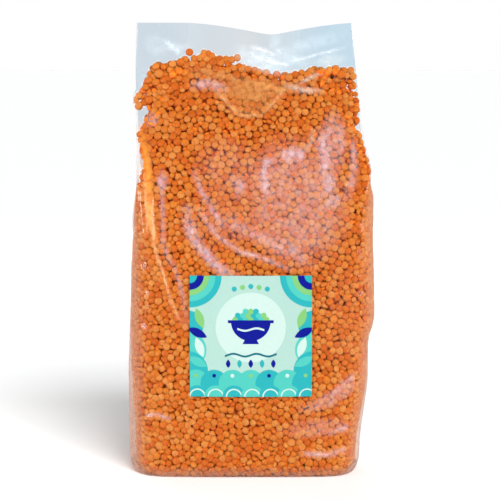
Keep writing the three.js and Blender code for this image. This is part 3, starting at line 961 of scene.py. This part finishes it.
def petal(centre, length, width, turn):
    """A pointed oval: two shallow arcs that meet at its tips."""
    shares = np.linspace(-1, 1, 11)
    lower = [(share * length / 2, -width / 2 * (1 - share ** 2)) for share in shares]
    upper = [(-share * length / 2, width / 2 * (1 - share ** 2)) for share in shares[1:-1]]
    cosine = math.cos(math.radians(turn))
    sine = math.sin(math.radians(turn))
    return [(centre[0] + u * cosine - v * sine, centre[1] + u * sine + v * cosine) for u, v in lower + upper]


def wave(height, rise, thickness, left, right):
    places = np.linspace(left, right, 41)
    lower = [(u, height + rise * math.sin(u / 2.4)) for u in places]
    return lower + [(u, v + thickness) for u, v in reversed(lower)]


def print_shapes():
    """The printed shapes, from the lowest one up, in millimetres from the middle of the label."""
    edge = LABEL_SIDE / 2
    yield PALE_MINT, disc((0, 6), 23, 48)
    for side in (-1, 1):
        for height, radius, colour in ((7, 10, TEAL), (-9, 12, SEA_GREEN), (-23, 13, TEAL)):
            yield colour, disc((side * (edge + 1), height), radius, 40)
    scallops = [(SEA_GREEN, LIME), (TEAL, NAVY), (SEA_GREEN, PALE_MINT)] * 2 + [(TEAL, LIME)]
    for i, (colour, dot) in enumerate(scallops):
        place = -edge + 4 + 12 * i
        yield colour, disc((place, -31), 9)
        yield dot, disc((place, -26), 1.3, 12)
    for i, colour in enumerate([TEAL, SEA_GREEN] * 3 + [TEAL]):
        middle = (-edge + 5 + 12 * i, -40)
        yield colour, disc(middle, 7.6)
        yield PALE_MINT, ring(middle, 5.4, 4.5, 0, 180)
    for side in (-1, 1):
        for radius, colour in ((21, TEAL), (17, SEA_GREEN), (13, LIME), (9.4, NAVY), (5, TEAL)):
            yield colour, disc((side * edge, edge), radius, 48)
        for i, colour in enumerate([LIME, NAVY, PALE_MINT, SEA_GREEN]):
            turn = 90 - side * (64 if i % 2 else 20)
            yield colour, petal((side * (33.5 + 1.4 * (i % 2)), 12 - 9.6 * i), 14, 5.6, turn)
    for row, count in enumerate((7, 6, 3)):
        for i in range(count):
            colour = (LIME, TEAL, SEA_GREEN)[(i + row) % 3]
            yield colour, disc((3.4 * (i - (count - 1) / 2), 11.2 + 2.7 * row), 1.9, 14)
    yield NAVY, arc((0, 10), 13, 180, 360, 32)
    yield NAVY, [(-15, 8.8), (15, 8.8), (15, 10.8), (-15, 10.8)]
    yield NAVY, [(-5.4, -5), (5.4, -5), (3.6, -1.5), (-3.6, -1.5)]
    yield PALE_MINT, wave(4, 0.8, 1.3, -8.8, 8.8)
    yield DEEP_TEAL, wave(-13, 0.9, 1.4, -17, 17)
    for i in range(5):
        yield (NAVY, TEAL)[i % 2], petal((7.4 * (i - 2), -18), 5.6, 3, 90)
    for i in range(5):
        yield (TEAL, LIME)[i % 2], disc((5.4 * (i - 2), 33 - 0.6 * abs(i - 2) ** 1.5), 1.7, 14)


def paper_material(name, colour):
    """Printed paper of one colour, with fine fibres and an uneven gloss."""
    material, tree, output = new_material(name)
    shader = node(tree, "BsdfPrincipled", Specular_IOR_Level=0.2)
    fibres = noise(tree, scale=1400, detail=3, roughness=0.6)
    smears = noise(tree, scale=70, detail=2, roughness=0.5)
    darker = tuple(0.93 * value for value in colour[:3]) + (1,)
    tone = colour_ramp(tree, (0.3, darker), (0.7, colour))
    gloss = node(tree, "MapRange", To_Min=0.3, To_Max=0.5)
    add_bump(tree, fibres, shader, strength=0.12, distance=0.0001)
    link(tree, (fibres, "Fac", tone, "Fac"), (tone, "Color", shader, "Base Color"),
         (smears, "Fac", gloss, "Value"), (gloss, "Result", shader, "Roughness"),
         (shader, "BSDF", output, "Surface"))
    return material


def printed_sheet():
    """Points, triangles and their inks for the label: a printed front, a plain back and a thin rim."""
    steps = np.linspace(-0.5, 0.5, LABEL_GRID + 1) * LABEL_SIDE
    side = LABEL_GRID + 1
    flat = [Vector((u, v)) for v in steps for u in steps]
    edges = [(side * j + i, side * j + i + 1) for j in range(side) for i in range(LABEL_GRID)]
    edges += [(side * j + i, side * (j + 1) + i) for j in range(LABEL_GRID) for i in range(side)]
    inks = []
    outlines = []
    for ink, outline in print_shapes():
        inks.append(ink)
        outlines.append(list(range(len(flat), len(flat) + len(outline))))
        flat.extend(Vector(point) for point in outline)
    flat, _, triangles, _, _, owners = geometry.delaunay_2d_cdt(flat, edges, outlines, 0, 1e-4)
    flat = np.array([tuple(point) for point in flat])
    triangles = np.array(triangles)
    middles = flat[triangles].mean(1)
    kept = np.abs(middles).max(1) < LABEL_SIDE / 2
    printed = [inks[max(owner)] if owner else MINT for owner, keep in zip(owners, kept) if keep]
    front = triangles[kept]
    used, front = np.unique(front, return_inverse=True)
    flat = flat[used]
    front = front.reshape(-1, 3)
    x = LABEL_CENTRE[0] + flat[:, 0]
    z = LABEL_CENTRE[1] + flat[:, 1]
    y = front_depth(x, z) - LABEL_GAP
    outside = np.stack([x, y - LABEL_THICKNESS, z], -1)
    inside = np.stack([x, y, z], -1)
    count = len(flat)
    lines = {(a, b) for face in front.tolist() for a, b in zip(face, face[1:] + face[:1])}
    rim = np.array([(a, b) for a, b in lines if (b, a) not in lines])
    first, second = rim[:, 0], rim[:, 1]
    points = np.concatenate([outside, inside])
    sides = np.concatenate([np.stack([first, first + count, second], -1),
                            np.stack([second, first + count, second + count], -1)])
    faces = np.concatenate([front, front[:, ::-1] + count, sides])
    return points, faces, printed + [MINT] * (len(faces) - len(front))


label_points, label_faces, label_inks = printed_sheet()
paper, *inks = [paper_material(name, linear(colour)) for name, colour in INKS.items()]
label = new_piece("printed_label", label_points, label_faces, paper, "label")
for ink in inks:
    label.data.materials.append(ink)
slots = list(INKS)
label.data.polygons.foreach_set("material_index", [slots.index(ink) for ink in label_inks])
label.data.polygons.foreach_set("use_smooth", np.zeros(len(label_inks), bool))


# Floor, light and camera
def add_light(name, kind, power, direction):
    light = bpy.data.lights.new(name, kind)
    light.energy = power
    lamp = bpy.data.objects.new(name, light)
    lamp.rotation_euler = Vector(direction).to_track_quat("-Z", "Y").to_euler()
    bpy.context.scene.collection.objects.link(lamp)
    return lamp


def area_light(name, place, aim, size, power):
    lamp = add_light(name, "AREA", power, Vector(aim) - Vector(place))
    lamp.location = place
    lamp.data.shape = "RECTANGLE"
    lamp.data.size, lamp.data.size_y = size


def sun_light(name, direction, strength, spread_angle):
    lamp = add_light(name, "SUN", strength, direction)
    lamp.data.angle = math.radians(spread_angle)
    lamp.visible_glossy = False


def floor_material():
    material, tree, output = new_material("white_floor")
    shader = node(tree, "BsdfDiffuse", Color=(0.985, 0.99, 0.99, 1))
    link(tree, (shader, "BSDF", output, "Surface"))
    return material


bpy.ops.mesh.primitive_plane_add(size=12)
floor = bpy.context.object
floor.name = "floor"
floor.data.materials.append(floor_material())
floor.visible_glossy = False

world = bpy.data.worlds.new("studio")
bpy.context.scene.world = world
world.use_nodes = True
tree = world.node_tree
tree.nodes.clear()
path = node(tree, "LightPath")
seen, lit, mirrored = (node(tree, "Background", Color=(1, 1, 1, 1), Strength=strength)
                       for strength in (1.0, 0.2, 0.1))
not_seen = node(tree, "MixShader")
mixed = node(tree, "MixShader")
world_output = node(tree, "OutputWorld")
link(tree, (path, "Is Glossy Ray", not_seen, "Fac"), (lit, "Background", not_seen, 1),
     (mirrored, "Background", not_seen, 2), (path, "Is Camera Ray", mixed, "Fac"),
     (not_seen, "Shader", mixed, 1), (seen, "Background", mixed, 2),
     (mixed, "Shader", world_output, "Surface"))

sun_light("key", (-0.32, 0.95, -0.68), strength=3.6, spread_angle=30)
sun_light("overhead", (0, 0, -1), strength=0.15, spread_angle=70)
sun_light("behind", (0.25, -0.9, -0.45), strength=0.8, spread_angle=60)
area_light("left_fill", (-1.15, -0.45, 0.16), (-0.08, 0, 0.14), size=(1.0, 0.25), power=8)
area_light("right_fill", (1.2, -0.35, 0.16), (0.08, 0, 0.14), size=(0.8, 0.25), power=3.6)
area_light("back_fill", (-0.3, 1.4, 0.2), (0, 0.03, 0.15), size=(1.2, 0.3), power=6)

CAMERA_ELEVATION = math.radians(7)
CAMERA_DISTANCE = 1504
CAMERA_TARGET = (0, -37, 152.6)
MILLIMETRES_PER_PIXEL = 0.651
PHOTO_WIDTH = 500
camera = bpy.data.cameras.new("camera")
camera.sensor_width = 36
camera.lens = camera.sensor_width * CAMERA_DISTANCE / (MILLIMETRES_PER_PIXEL * PHOTO_WIDTH)
eye = bpy.data.objects.new("camera", camera)
target = Vector((np.array(CAMERA_TARGET) + SHIFT) * MILLIMETRE)
towards = Vector((0, math.cos(CAMERA_ELEVATION), -math.sin(CAMERA_ELEVATION)))
eye.location = target - towards * CAMERA_DISTANCE * MILLIMETRE
eye.rotation_euler = towards.to_track_quat("-Z", "Y").to_euler()
bpy.context.scene.collection.objects.link(eye)
bpy.context.scene.camera = eye
bpy.context.scene.view_settings.view_transform = "Standard"
